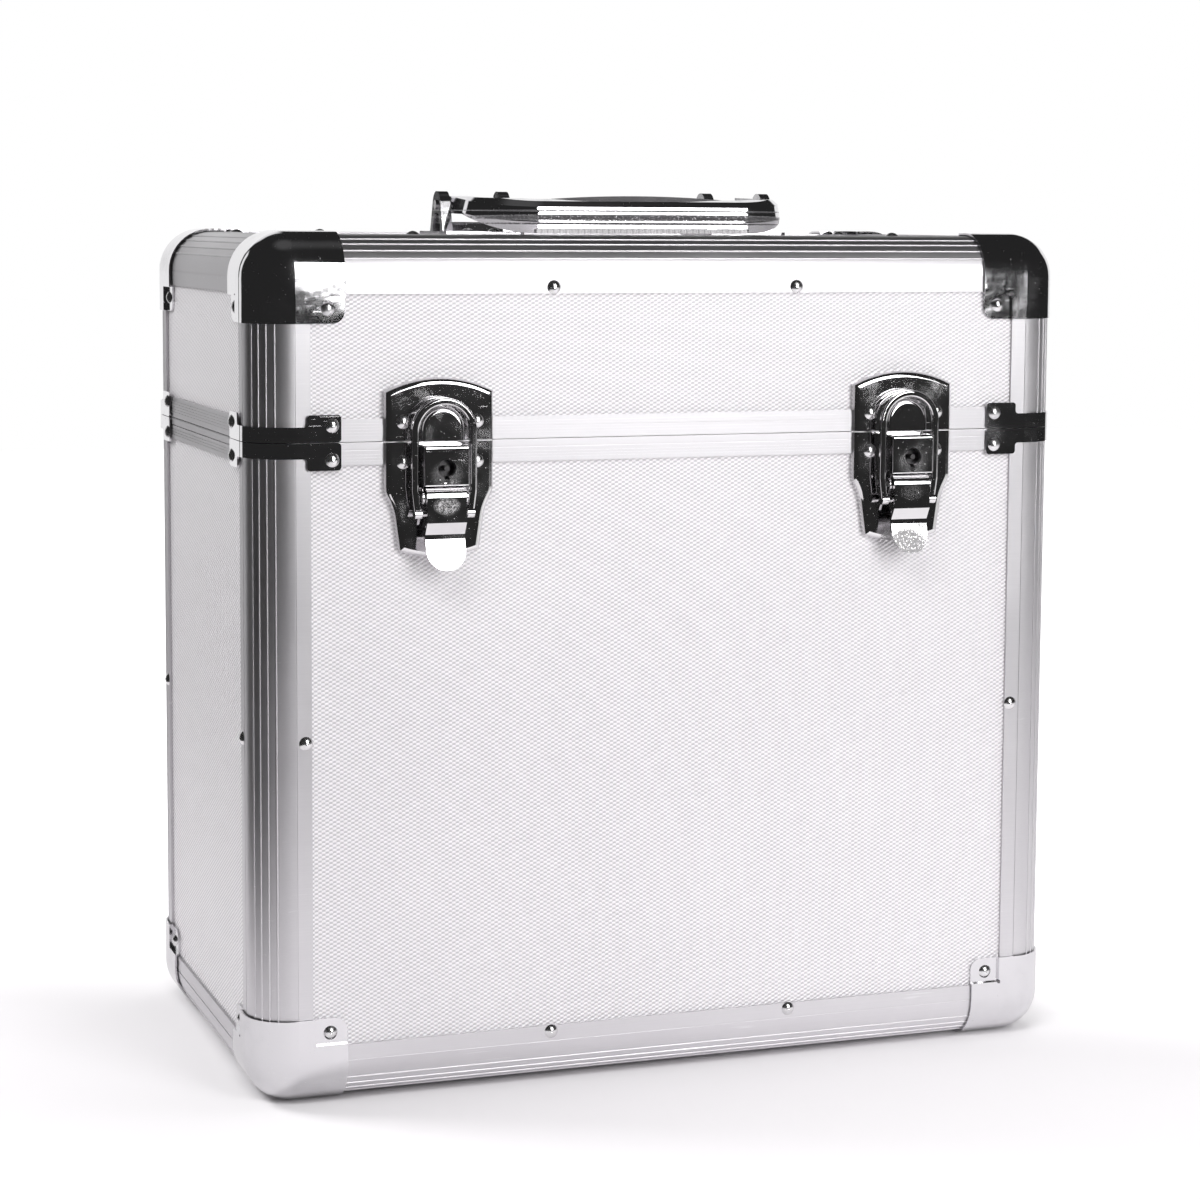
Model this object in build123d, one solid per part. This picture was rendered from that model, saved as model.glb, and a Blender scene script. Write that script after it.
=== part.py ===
from build123d import *
import os
from math import cos, radians, sin

# Record carrying case: an aluminium-edged flight case with a hinged lid, two key latches and a
# folding top handle. Millimetres. X runs left to right seen from the front, Y to the back, Z up.
# The shell is modelled with its lower rails on z = 0 and its middle at x = y = 0; each piece is
# then moved by TO_ORIGIN, so that the finished case stands on z = 0 over its own middle.

# ---- the case ----
CASE_WIDTH = 360.0
CASE_DEPTH = 198.0
CASE_HEIGHT = 354.0
SPLIT = 271.0                 # height at which lid and body part
HALF_SPLIT_GAP = 0.15
HALF_W = CASE_WIDTH / 2
HALF_D = CASE_DEPTH / 2

# ---- edge extrusion: a rounded double wall whose slots hold the panels ----
EDGE_LEG = 23.8               # from the virtual corner to the edge of the flange
EDGE_RADIUS = 17.5
SKIN = 1.2                    # wall of every extrusion
PANEL = 4.0
PANEL_IN = SKIN + PANEL       # depth of a panel's inner face
LIP_IN = PANEL_IN + 0.1       # depth of the inner lip's outer face
WALL_IN = LIP_IN + SKIN       # depth of the whole wall
PANEL_EDGE = 18.0             # a panel's edge, measured from the virtual corner
WEB_AT = 16.3
RIB_ANGLES = (27, 39, 51, 63)
RIB_RADIUS = 0.5
RIB_SINK = 0.1
RAIL_END = 24.0               # rails and posts stop here; the ball corners close the gap
TANGENT_GROOVE_AT = 17.4
GROOVE = 0.5

# ---- rim rails each side of the split ----
BODY_RIM = 9.4
LID_RIM = 9.2
RIM_PROUD = 0.3
TONGUE_UP = 2.6
TONGUE_AT = 2.6
TONGUE_THICK = 1.2
LID_WEB_AT = 3.1

# ---- liner ----
LINER = 2.5
LINER_CLEAR = 0.1
LINER_RIM_GAP = 2.0

# ---- pressed steel trim ----
TRIM = 0.8
TRIM_CLEAR = 0.5              # inner face of the corners and clips, proud of the rails
BALL_REACH = 38.0             # along the case's width and depth
BALL_REACH_UP = 35.5
BALL_EAR_RADIUS = 5.0
EAR_STEP = EDGE_LEG + 0.1
EAR_TOP_DEPTH = 0.2
EAR_RIVET = (31.0, 29.5)      # along the face, and up or down
CLIP_LEG = 36.0
CLIP_STRAP = 22.0
CLIP_TALL = 11.0
CLIP_STRAP_TALL = 6.2
CLIP_RIVET = (32.3, 6.9)
CLIP_ROUND = 1.4

TRIM_OUT = TRIM_CLEAR + TRIM

# ---- rivets ----
HEAD_RADIUS = 2.9
HEAD_HEIGHT = 1.4
SHANK_RADIUS = 1.6
HOLE_RADIUS = 1.7
RIVET_LINE = 21.3             # rivet line on the flanges, from the virtual corner
FRONT_RIVETS_X = 54.0
TOP_RIVETS_X = 108.0
BODY_RIVET_Z = 149.5

# ---- latches ----
LATCH_X = 103.3
PLATE_PROUD = 3.0
PLATE_SHEET = 1.2
PLATE_ROUND = 2.5
PLATE_HALF = 22.9
LATCH_RIVET_X = 15.5
CATCH_RIVET_Z = 8.0
BASE_RIVET_Z = -8.2
PLATE_SPLIT_GAP = 0.35
CATCH_SIDE_Z = 20.2
CATCH_TOP_Z = 25.6
BASE_OUTLINE = ((PLATE_HALF, -20.5), (19.4, -27.5), (17.0, -44.5))    # shoulder, neck, foot
BASE_FOOT_Z = -47.4
BASE_BENDS = (6.0, 24.0)      # of the shoulder and of the neck
HOOK_HALF = 9.5
HOOK_CLEAR = 0.6
HOOK_PROUD = 7.2
HOOK_ROUND = 2.2
RIDGE_RADIUS = 17.0
RIDGE_Z = 0.6
RIDGE_ENDS_Z = 11.3
RIDGE_WIDTH = 2.2
RIDGE_PROUD = 4.4
RIDGE_ROUND = 0.8
ARCH_Z = 4.2                  # centre of the bail's arch and of the hook's top
LOCK_HALF = 9.4
LOCK_TOP, LOCK_BOTTOM = -1.1, -17.5
LOCK_PROUD = 13.0
LOCK_WALL = 1.2
LOCK_ROUND = (1.3, 0.6)       # of the top edge and of the others
KEY_Z = -10.4
KEY_RADIUS = 3.8
KEY_SLOT = (2.3, 3.4)
BARREL_RADIUS = 4.6
BARREL_BACK = 4.6
SLEEVE_BACK = 6.0
CAM_BACK, CAM_FRONT = 3.4, 4.8
CAM_REACH = 7.2
LOCK_POST = 1.1
RUNNING = 0.06                # radial clearance of every pivot

# ---- lever and bail ----
LEVER_PIVOT = (8.2, -22.3)    # proud of the face, and below the split
BAIL_PIVOT = (8.2, -28.8)
PIVOT_RADIUS = 1.2
LEVER_HALF = 8.3
LEVER_WALL = 1.0
LEVER_SHEET = 1.3
LEVER_ROLL = 4.5
LEVER_FACE = 10.1             # height of the lever's flat face below its pivot
LEVER_SET_BACK = 2.8          # waist of the lever, behind its face
WAIST = (15.0, 16.9)          # below the pivot
TONGUE_FLARE = 0.9
TONGUE_TIP_Z = -51.4
LUG_GAP = 0.3
LUG_THICK = 0.9
LUG_RADIUS = 2.6
BAIL_OUTER = 13.6
BAIL_INNER = 10.7
BAIL_DRAW_IN = (1.1, 9.0)     # of each leg at its eye, and the height over which it happens
BAIL_THICK = 2.8
BAIL_ROUND = 0.9
BAIL_EYE = 2.1
BAIL_LEAN = 0.9               # degrees, the arch leans out over the hook

# ---- rear hinges ----
HINGE_X = 103.3
HINGE_WIDTH = 50.0
HINGE_LEAF = 24.0
HINGE_SHEET = 1.2
HINGE_AXIS_OUT = 3.4          # proud of the back face
KNUCKLE_RADIUS = 3.1
HINGE_PIN_RADIUS = 1.5
KNUCKLES = 5
KNUCKLE_GAP = 0.3
PIN_HEAD = 0.8
PIN_HEAD_GAP = 0.2
HINGE_RIVET = (17.0, 16.0)    # beside the hinge's middle, and from the split
HINGE_CORNER = 3.0

# ---- handle, folded forward on the lid ----
HANDLE_PIVOT_Y = -9.0
HANDLE_PIVOT_UP = 12.4        # over the lid's flanges
HANDLE_PIN_RADIUS = 2.1
BOW_HALF = 72.6
BOW_REACH = -59.0             # y of the bow's outer face
BOW_RADIUS = 28.0
BOW_BAND = 8.5
BOW_SHEET = 1.6
BOW_TOP = ((-59.0, 13.5), (-49.0, 15.2))   # y and height, rising back from the grip
BOW_END_TOP = 16.4
BOW_CREASE = (5.2, 12.2)      # height of the widest line at the grip and at the pivots
BOW_LEAN_IN = (13.0, 5.0)     # degrees above and below that line
BOW_BEVEL = (11.0, 15.4)      # where the bevel starts, at the grip and at the pivots
BOW_BEVEL_IN = 50.0
BOW_LOW = 2.3                 # of the grip; the shoulders beside it reach further down
BOW_ARM_LOW = ((-57.0, 0.6), (-54.3, 1.4), (-49.4, 3.2), (-45.8, 4.5), (-39.2, 6.5), (-31.0, 8.4))
BOW_END_LOW = 8.6
BOW_HEEL = 3.9                # of each end behind its pivot
BOW_KNUCKLE = 3.8
GRIP_HALF = 49.0
BEADS = ((10.1, 11.6, 10.1, 4.7, 0.1), (5.6, 9.7, 8.5, 3.9, 0.6), (2.5, 4.1, 2.7, 4.5, 0.1))
# each bead above is its low, high and steepest heights, its radius and its reach over the widest line
FIT = 0.1                     # gap between pieces that lie together
GRIP_BACK = BOW_REACH + BOW_BAND + 1.6
GRIP_CLEAR = 0.45             # grip over the lid at rest
CREST = (44.0, 14.6, 16.4)    # the grip's arched back: half length, height at its ends and its middle
GRIP_TOOTH_OUT = -0.3
GRIP_TOOTH_PITCH = 2.75
GRIP_TOOTH_RADIUS = 0.95
EAR_X = (48.0, 75.3)          # inner and outer ear of each bracket
EAR_WIDTH = 4.5
EAR_CROWN = 5.9
EAR_FOOT = 10.0
BRACKET_BASE = (42.0, 81.0, 17.0)   # x from, x to, half depth
BRACKET_UP = 1.0
BRACKET_RIVET = (6.0, 13.2)   # from the middle of the base
SADDLE_HALF = (9.4, 4.6)      # at its foot and its top
SADDLE_UP = 5.0
EAR_LEG = 3.6

# ---- where the shell sits in the finished part's frame ----
FRONT_REACH = 13.6            # tip of the lever's tongue, proud of the front face
BACK_REACH = HINGE_AXIS_OUT + KNUCKLE_RADIUS
TO_ORIGIN = Pos(0, (FRONT_REACH - BACK_REACH) / 2, TRIM_OUT)

LEFT, RIGHT = (-1, 0, 0), (1, 0, 0)
FRONT, BACK = (0, -1, 0), (0, 1, 0)
DOWN, UP = (0, 0, -1), (0, 0, 1)
# each corner's side along x and y, and the turn of a piece drawn for the front left corner
CORNERS = {
    "front_left": (-1, -1, 0),
    "front_right": (1, -1, 90),
    "back_right": (1, 1, 180),
    "back_left": (-1, 1, 270),
}


# ---------------------------------------------------------------- small helpers
def box_between(low, high):
    """Box from its lowest to its highest corner."""
    size = [b - a for a, b in zip(low, high)]
    middle = [(a + b) / 2 for a, b in zip(low, high)]
    return Pos(*middle) * Box(*size)


def wall_plane(face, along, up, proud=0.0):
    """Plane on an upright face of the case, `along` it from its middle and at height `up`.
    Sketch x runs to the viewer's right, sketch y runs up, and the normal points outwards."""
    nx, ny, _ = face
    out = (HALF_W if nx else HALF_D) + proud
    side = Vector(-ny, nx, 0)
    origin = Vector(nx * out, ny * out, up) + side * along
    return Plane(origin=origin, x_dir=side, z_dir=face)


def drilled(piece, drills):
    """Piece with the rivet holes that reach it."""
    box = piece.bounding_box()
    near = [d for d in drills if boxes_meet(box, d.bounding_box())]
    return piece - near if near else piece


def boxes_meet(a, b):
    """Whether two bounding boxes share any space."""
    return (a.min.X < b.max.X and b.min.X < a.max.X and a.min.Y < b.max.Y and b.min.Y < a.max.Y
            and a.min.Z < b.max.Z and b.min.Z < a.max.Z)


def group(solids):
    """Several loose solids as one node."""
    return Compound([solid for item in solids for solid in item.solids()])


# ---------------------------------------------------------------- extrusions
def rounded_square(inset, leg):
    """The case's corner region in section, inset from both faces, out to `leg` from the corner."""
    side = leg - inset
    square = Pos(inset + side / 2, inset + side / 2) * Rectangle(side, side)
    corner = min(square.vertices(), key=lambda v: v.X + v.Y)
    return fillet(corner, EDGE_RADIUS - inset)


def corner_band(outer, inner, leg):
    """L-shaped band that follows the rounded corner between two insets."""
    return rounded_square(outer, leg) - rounded_square(inner, leg)


def edge_profile():
    """Section of the edge extrusion: outer skin with fine ribs, inner lip and the slots' webs."""
    profile = corner_band(0, SKIN, EDGE_LEG) + corner_band(LIP_IN, WALL_IN, EDGE_LEG)
    web_x, web_y = WEB_AT + SKIN / 2, (SKIN + LIP_IN) / 2
    web_size = LIP_IN - SKIN + 2 * RIB_SINK
    profile += Pos(web_x, web_y) * Rectangle(SKIN, web_size)
    profile += Pos(web_y, web_x) * Rectangle(web_size, SKIN)
    rib_line = EDGE_RADIUS - RIB_SINK
    for angle in RIB_ANGLES:
        x = EDGE_RADIUS - rib_line * cos(radians(angle))
        y = EDGE_RADIUS - rib_line * sin(radians(angle))
        profile += Pos(x, y) * Circle(RIB_RADIUS)
    profile -= Pos(TANGENT_GROOVE_AT, 0) * Rectangle(GROOVE, GROOVE)
    profile -= Pos(0, TANGENT_GROOVE_AT) * Rectangle(GROOVE, GROOVE)
    return profile


def edge_rail(middle, inward_a, inward_b, length):
    """Length of edge extrusion with its virtual corner on `middle`."""
    along = Vector(*inward_a).cross(Vector(*inward_b))
    plane = Plane(origin=middle, x_dir=inward_a, z_dir=along)
    return extrude(plane * edge_profile(), amount=length / 2, both=True)


def level_rails(z, inward_z):
    """The four level rails of the top or the bottom, by side."""
    along_x = CASE_WIDTH - 2 * RAIL_END
    along_y = CASE_DEPTH - 2 * RAIL_END
    return {
        "front": edge_rail((0, -HALF_D, z), BACK, inward_z, along_x),
        "back": edge_rail((0, HALF_D, z), FRONT, inward_z, along_x),
        "left": edge_rail((-HALF_W, 0, z), RIGHT, inward_z, along_y),
        "right": edge_rail((HALF_W, 0, z), LEFT, inward_z, along_y),
    }


def posts(low, high):
    """The four upright corner extrusions between two heights, by corner."""
    made = {}
    for name, (sx, sy, _) in CORNERS.items():
        middle = (sx * HALF_W, sy * HALF_D, (low + high) / 2)
        made[name] = edge_rail(middle, (-sx, 0, 0), (0, -sy, 0), high - low)
    return made


def rim_grooves(marks, depth):
    """Fine grooves across the face of a rim rail's section."""
    return [Pos(-RIM_PROUD, mark) * Rectangle(depth * 2, GROOVE) for mark in marks]


def body_rim_profile():
    """Section of the body's rim rail: depth inward along x, height from the split along y."""
    top = -HALF_SPLIT_GAP
    tall = BODY_RIM + top
    profile = Pos(SKIN / 2, top - tall / 2) * Rectangle(SKIN, tall)
    profile += Pos((SKIN - RIM_PROUD) / 2, top - tall / 2) * Rectangle(SKIN + RIM_PROUD, tall - 0.6)
    profile += Pos(LIP_IN + SKIN / 2, top - tall / 2) * Rectangle(SKIN, tall)
    profile += Pos(WALL_IN / 2, top - SKIN / 2) * Rectangle(WALL_IN, SKIN)
    tongue = Rectangle(TONGUE_THICK, TONGUE_UP + SKIN)
    profile += Pos(TONGUE_AT + TONGUE_THICK / 2, top + (TONGUE_UP - SKIN) / 2) * tongue
    profile -= rim_grooves([-3.2], 0.6)
    profile -= rim_grooves([-4.9, -6.1, -7.3], 0.25)
    return profile


def lid_rim_profile():
    """Section of the lid's rim rail, with the groove that takes the body's tongue."""
    low = HALF_SPLIT_GAP
    tall = LID_RIM - low
    profile = Pos(SKIN / 2, low + tall / 2) * Rectangle(SKIN, tall)
    profile += Pos((SKIN - RIM_PROUD) / 2, low + tall / 2) * Rectangle(SKIN + RIM_PROUD, tall - 3.6)
    profile += Pos(LIP_IN + SKIN / 2, low + tall / 2) * Rectangle(SKIN, tall)
    profile += Pos(WALL_IN / 2, LID_WEB_AT + SKIN / 2) * Rectangle(WALL_IN, SKIN)
    profile -= rim_grooves([2.9, 4.1, 5.3, 6.5], 0.25)
    return profile


def rim_rails(profile):
    """The four rim rails at the split, by side."""
    made = {}
    for name, face in (("front", FRONT), ("back", BACK), ("left", LEFT), ("right", RIGHT)):
        nx, ny, _ = face
        inward = Vector(-nx, -ny, 0)
        half, span = (HALF_W, CASE_DEPTH) if nx else (HALF_D, CASE_WIDTH)
        origin = Vector(nx * half, ny * half, SPLIT)
        plane = Plane(origin=origin, x_dir=inward, z_dir=inward.cross(Vector(0, 0, 1)))
        made[name] = extrude(plane * profile, amount=span / 2 - RAIL_END, both=True)
    return made


# ---------------------------------------------------------------- panels and liners
def wall_panels(low, high):
    """The four upright panels between two heights, by side."""
    half_x, half_y = HALF_W - PANEL_EDGE, HALF_D - PANEL_EDGE
    return {
        "front": box_between((-half_x, -HALF_D + SKIN, low), (half_x, -HALF_D + PANEL_IN, high)),
        "back": box_between((-half_x, HALF_D - PANEL_IN, low), (half_x, HALF_D - SKIN, high)),
        "left": box_between((-HALF_W + SKIN, -half_y, low), (-HALF_W + PANEL_IN, half_y, high)),
        "right": box_between((HALF_W - PANEL_IN, -half_y, low), (HALF_W - SKIN, half_y, high)),
    }


def flat_panel(low):
    """Top or bottom panel with its lower face at `low`."""
    half_x, half_y = HALF_W - PANEL_EDGE, HALF_D - PANEL_EDGE
    return box_between((-half_x, -half_y, low), (half_x, half_y, low + PANEL))


def rounded_tub(inset, low, high, closed_low):
    """Solid filling the case inside `inset`, rounded along its uprights and its closed end."""
    half_x, half_y = HALF_W - inset, HALF_D - inset
    tub = box_between((-half_x, -half_y, low), (half_x, half_y, high))
    end = tub.faces().sort_by(Axis.Z)[0 if closed_low else -1]
    return fillet(list(tub.edges().filter_by(Axis.Z)) + list(end.edges()), EDGE_RADIUS - inset)


def body_liner():
    """Formed liner of the body, open at the top."""
    outer, inner = WALL_IN + LINER_CLEAR, WALL_IN + LINER_CLEAR + LINER
    top = SPLIT - LINER_RIM_GAP
    return rounded_tub(outer, outer, top, True) - rounded_tub(inner, inner, top + EDGE_LEG, True)


def lid_liner():
    """Formed liner of the lid, open at the bottom."""
    outer, inner = WALL_IN + LINER_CLEAR, WALL_IN + LINER_CLEAR + LINER
    low = SPLIT + LINER_RIM_GAP
    cavity = rounded_tub(inner, low - EDGE_LEG, CASE_HEIGHT - inner, False)
    return rounded_tub(outer, low, CASE_HEIGHT - outer, False) - cavity


# ---------------------------------------------------------------- ball corners and clips
def corner_block(inset):
    """Solid of the case's corner, inset from its three faces, rounded as the edges are."""
    size = 2 * BALL_REACH
    block = box_between((inset,) * 3, (inset + size,) * 3)
    near = [e for e in block.edges() if min(v.X + v.Y + v.Z for v in e.vertices()) < 3 * inset + 1]
    return fillet(near, EDGE_RADIUS - inset)


def ear_zones(start, low, high):
    """Regions beyond the flanges of the three faces at a corner, between two depths."""
    far = 2 * BALL_REACH
    return [
        box_between((low, start, start), (high, far, far)),
        box_between((start, low, start), (far, high, far)),
        box_between((start, start, low), (far, far, high)),
    ]


def ball_corner():
    """Pressed corner with its virtual corner at the origin and the case in the first octant."""
    reach = box_between((-TRIM_OUT,) * 3, (BALL_REACH, BALL_REACH, BALL_REACH_UP))
    inner_sum = BALL_REACH + BALL_REACH_UP - 2 * TRIM_OUT - 1
    far = [e for e in reach.edges() if min(v.X + v.Y + v.Z for v in e.vertices()) > inner_sum]
    reach = fillet(far, BALL_EAR_RADIUS)
    shell = corner_block(-TRIM_OUT) & reach
    shell -= ear_zones(EAR_STEP + TRIM, -EDGE_LEG, EAR_TOP_DEPTH)
    cavity = corner_block(-TRIM_CLEAR) - ear_zones(EAR_STEP, -EDGE_LEG, SKIN)
    shell -= cavity
    notch = EAR_STEP + TRIM
    for axis in (Rot(0, 0, 0), Rot(0, -90, -90), Rot(90, 90, 0)):
        shell -= axis * Pos(notch, notch, 0) * Cylinder(TRIM, 2 * PANEL)
    return shell


def corner_clip():
    """Strap round a post with a tab on each face, standing on the split and reaching up."""
    band = extrude(corner_band(-TRIM_OUT, -TRIM_CLEAR, CLIP_LEG), amount=CLIP_TALL)
    above_strap = (-2 * TRIM_OUT, -2 * TRIM_OUT, CLIP_STRAP_TALL)
    clip = band - box_between(above_strap, (CLIP_STRAP, CLIP_STRAP, 2 * CLIP_TALL))
    across = [e for e in clip.edges() if abs(e.length - TRIM) < TRIM / 10]
    return fillet([e for e in across if max(e.center().X, e.center().Y) > CLIP_STRAP - 1], CLIP_ROUND)


def corner_set(piece, z):
    """One corner piece at each of the four corners, at height z."""
    return [Pos(sx * HALF_W, sy * HALF_D, z) * Rot(0, 0, turn) * piece for sx, sy, turn in CORNERS.values()]


# ---------------------------------------------------------------- rivets
def rivet_at(plane, depth):
    """Domed rivet with its head on the plane and its shank `depth` behind it."""
    sphere = (HEAD_RADIUS ** 2 + HEAD_HEIGHT ** 2) / (2 * HEAD_HEIGHT)
    above = Pos(0, 0, HEAD_RADIUS) * Box(2 * HEAD_RADIUS, 2 * HEAD_RADIUS, 2 * HEAD_RADIUS)
    head = Pos(0, 0, HEAD_HEIGHT - sphere) * Sphere(sphere) & above
    shank = Pos(0, 0, 0.5 - depth / 2) * Cylinder(SHANK_RADIUS, depth + 1)
    return plane * (head + shank)


def drill_at(plane, depth):
    """Hole for one rivet."""
    return plane * Pos(0, 0, 0.5 - depth / 2) * Cylinder(HOLE_RADIUS, depth + 1.2)


def wall_rivets(body):
    """Rivets of the body's or the lid's upright faces, each as its plane and its shank's depth."""
    end, inward, split_side = (0, 1, -1) if body else (CASE_HEIGHT, -1, 1)
    flange_z = end + inward * RIVET_LINE
    ear_z = end + inward * EAR_RIVET[1]
    clip_z = SPLIT + split_side * CLIP_RIVET[1]
    made = []
    for face in (FRONT, BACK, LEFT, RIGHT):
        half = HALF_W if face[1] else HALF_D
        if face[1]:
            for along in (-FRONT_RIVETS_X, FRONT_RIVETS_X):
                made.append((wall_plane(face, along, flange_z), WALL_IN))
        for side in (-1, 1):
            ear = wall_plane(face, side * (half - EAR_RIVET[0]), ear_z, -EAR_TOP_DEPTH)
            made.append((ear, PANEL_IN - EAR_TOP_DEPTH))
            clip = wall_plane(face, side * (half - CLIP_RIVET[0]), clip_z, TRIM_OUT)
            made.append((clip, WALL_IN + TRIM_OUT))
            if body:
                made.append((wall_plane(face, side * (half - RIVET_LINE), BODY_RIVET_Z), WALL_IN))
    return made


def level_rivets(z, normal):
    """Rivets of the top or the bottom: one in each corner ear, and the top's long flanges' own."""
    made = []
    for sx in (-1, 1):
        for sy in (-1, 1):
            ear = (sx * (HALF_W - EAR_RIVET[0]), sy * (HALF_D - EAR_RIVET[0]), z - normal[2] * EAR_TOP_DEPTH)
            made.append((Plane(origin=ear, z_dir=normal), PANEL_IN - EAR_TOP_DEPTH))
            if normal == UP:
                flange = (sx * TOP_RIVETS_X, sy * (HALF_D - RIVET_LINE), z)
                made.append((Plane(origin=flange, z_dir=normal), WALL_IN))
    return made


def latch_rivets(z):
    """Rivets of both latches' plates at a height from the split."""
    made = []
    for latch in (-LATCH_X, LATCH_X):
        for side in (-LATCH_RIVET_X, LATCH_RIVET_X):
            made.append((wall_plane(FRONT, latch + side, SPLIT + z, PLATE_PROUD), WALL_IN + PLATE_PROUD))
    return made


def hinge_rivets(side):
    """Rivets of both hinges' lower (-1) or upper (1) leaves."""
    out = TRIM_CLEAR + HINGE_SHEET
    beside, height = HINGE_RIVET
    made = []
    for hinge in (-HINGE_X, HINGE_X):
        for x in (hinge - beside, hinge + beside):
            made.append((wall_plane(BACK, x, SPLIT + side * height, out), PANEL_IN + out))
    return made


def bracket_rivets():
    """Four rivets through each handle bracket."""
    made = []
    for side in (-1, 1):
        middle = side * (BRACKET_BASE[0] + BRACKET_BASE[1]) / 2
        for dx in (-BRACKET_RIVET[0], BRACKET_RIVET[0]):
            for dy in (-BRACKET_RIVET[1], BRACKET_RIVET[1]):
                origin = (middle + dx, HANDLE_PIVOT_Y + dy, CASE_HEIGHT + BRACKET_UP)
                made.append((Plane(origin=origin, z_dir=UP), PANEL_IN + BRACKET_UP))
    return made


# ---------------------------------------------------------------- latches
def latch_plane(x, proud=0.0):
    """Sketch plane of one latch: x across, y up from the split, normal out of the front face."""
    return wall_plane(FRONT, x, SPLIT, proud)


def edges_off_split(face):
    """Edges of a face but for the straight cut one beside the split."""
    return face.edges().filter_by(lambda e: abs(e.center().Z - SPLIT) > 2 * PLATE_SPLIT_GAP)


def pressed_plate(outline, x, rim_low, rim_high):
    """Shallow pressed pan on the front face, let down to the panel past the rim rail."""
    outer = extrude(latch_plane(x, -SKIN) * outline, amount=SKIN + PLATE_PROUD)
    front = outer.faces().sort_by(Axis.Y)[0]
    outer = fillet(edges_off_split(front), PLATE_ROUND)
    hollow = offset(outline, -PLATE_SHEET)
    inner = extrude(latch_plane(x, -SKIN) * hollow, amount=SKIN + PLATE_PROUD - PLATE_SHEET)
    seat = box_between((x - CASE_WIDTH / 4, -HALF_D - TRIM_CLEAR, SPLIT + rim_low),
                       (x + CASE_WIDTH / 4, -HALF_D + EDGE_LEG, SPLIT + rim_high))
    return outer - inner - seat


def catch_outline():
    """Outline of the lid's catch plate, with its arched top."""
    left_top, right_top = (-PLATE_HALF, CATCH_SIDE_Z), (PLATE_HALF, CATCH_SIDE_Z)
    sides = Polyline(left_top, (-PLATE_HALF, PLATE_SPLIT_GAP), (PLATE_HALF, PLATE_SPLIT_GAP), right_top)
    return make_face(sides + ThreePointArc(right_top, (0, CATCH_TOP_Z), left_top))


def hook_outline(half):
    """Hook seen from the front: upright sides under a half-round top."""
    low = PLATE_SPLIT_GAP
    top = ARCH_Z + BAIL_INNER - HOOK_HALF - HOOK_CLEAR
    crown = Pos(0, top) * Circle(half) & Pos(0, top + half) * Rectangle(2 * half, 2 * half)
    return Pos(0, (low + top) / 2) * Rectangle(2 * half, top - low) + crown


def catch_plate(x):
    """Catch plate of one latch: pressed pan, arched ridge and the domed hook."""
    plate = pressed_plate(catch_outline(), x, -1, LID_RIM)
    seat = PLATE_PROUD - PLATE_SHEET / 2
    ring = Pos(0, RIDGE_Z) * (Circle(RIDGE_RADIUS) - Circle(RIDGE_RADIUS - RIDGE_WIDTH))
    arc = ring & Pos(0, RIDGE_ENDS_Z + RIDGE_RADIUS) * Rectangle(2 * PLATE_HALF, 2 * RIDGE_RADIUS)
    ridge = extrude(latch_plane(x, seat) * arc, amount=RIDGE_PROUD - seat)
    ridge = fillet(ridge.faces().sort_by(Axis.Y)[0].edges(), RIDGE_ROUND)
    hook = extrude(latch_plane(x, seat) * hook_outline(HOOK_HALF), amount=HOOK_PROUD - seat)
    hook = fillet(edges_off_split(hook.faces().sort_by(Axis.Y)[0]), HOOK_ROUND)
    return plate + ridge + hook


def base_outline():
    """Outline of the body's latch plate: square shoulders drawn in to a round foot."""
    shoulder, neck, foot = BASE_OUTLINE
    right = [(PLATE_HALF, -PLATE_SPLIT_GAP), shoulder, neck, foot]
    left = [(-x, y) for x, y in reversed(right)]
    face = make_face(Polyline(*left, *right) + ThreePointArc(foot, (0, BASE_FOOT_Z), left[0]))
    for height, bend in zip((shoulder[1], neck[1]), BASE_BENDS):
        face = fillet([v for v in face.vertices() if abs(v.Y - height) < 1], bend)
    return face


def lock_outline(wall):
    """Square lock housing seen from the front, inset by `wall`."""
    tall = LOCK_TOP - LOCK_BOTTOM - 2 * wall
    return Pos(0, (LOCK_TOP + LOCK_BOTTOM) / 2) * Rectangle(2 * (LOCK_HALF - wall), tall)


def lock_box(x):
    """Square lock housing with its keyhole and the sleeve that the barrel turns in."""
    foot = PLATE_PROUD - PLATE_SHEET / 2
    outer = extrude(latch_plane(x, foot) * lock_outline(0), amount=LOCK_PROUD - foot)
    rim = outer.faces().sort_by(Axis.Y)[0].edges().sort_by(Axis.Z)
    top_round, side_round = LOCK_ROUND
    outer = fillet(rim[-1], top_round)
    outer = fillet(outer.faces().sort_by(Axis.Y)[0].edges().sort_by(Axis.Z)[:-1], side_round)
    inner = extrude(latch_plane(x) * lock_outline(LOCK_WALL), amount=LOCK_PROUD - LOCK_WALL)
    bore = BARREL_RADIUS + RUNNING
    ring = Pos(0, KEY_Z) * (Circle(bore + LOCK_WALL) - Circle(bore))
    sleeve = extrude(latch_plane(x, SLEEVE_BACK) * ring, amount=LOCK_PROUD - LOCK_WALL - SLEEVE_BACK)
    key = Pos(0, KEY_Z) * Circle(KEY_RADIUS)
    key += Pos(0, KEY_Z - KEY_RADIUS + 1 - KEY_SLOT[1] / 2) * Rectangle(*KEY_SLOT)
    hole = extrude(latch_plane(x, LOCK_PROUD - 2 * LOCK_WALL) * key, amount=4 * LOCK_WALL)
    return (outer - inner + sleeve) - hole


def side_plane(x):
    """Sketch plane across one latch: sketch x is proud of the front face, sketch y up from the split."""
    return Plane(origin=(x, -HALF_D, SPLIT), x_dir=(0, -1, 0), z_dir=(-1, 0, 0))


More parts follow.
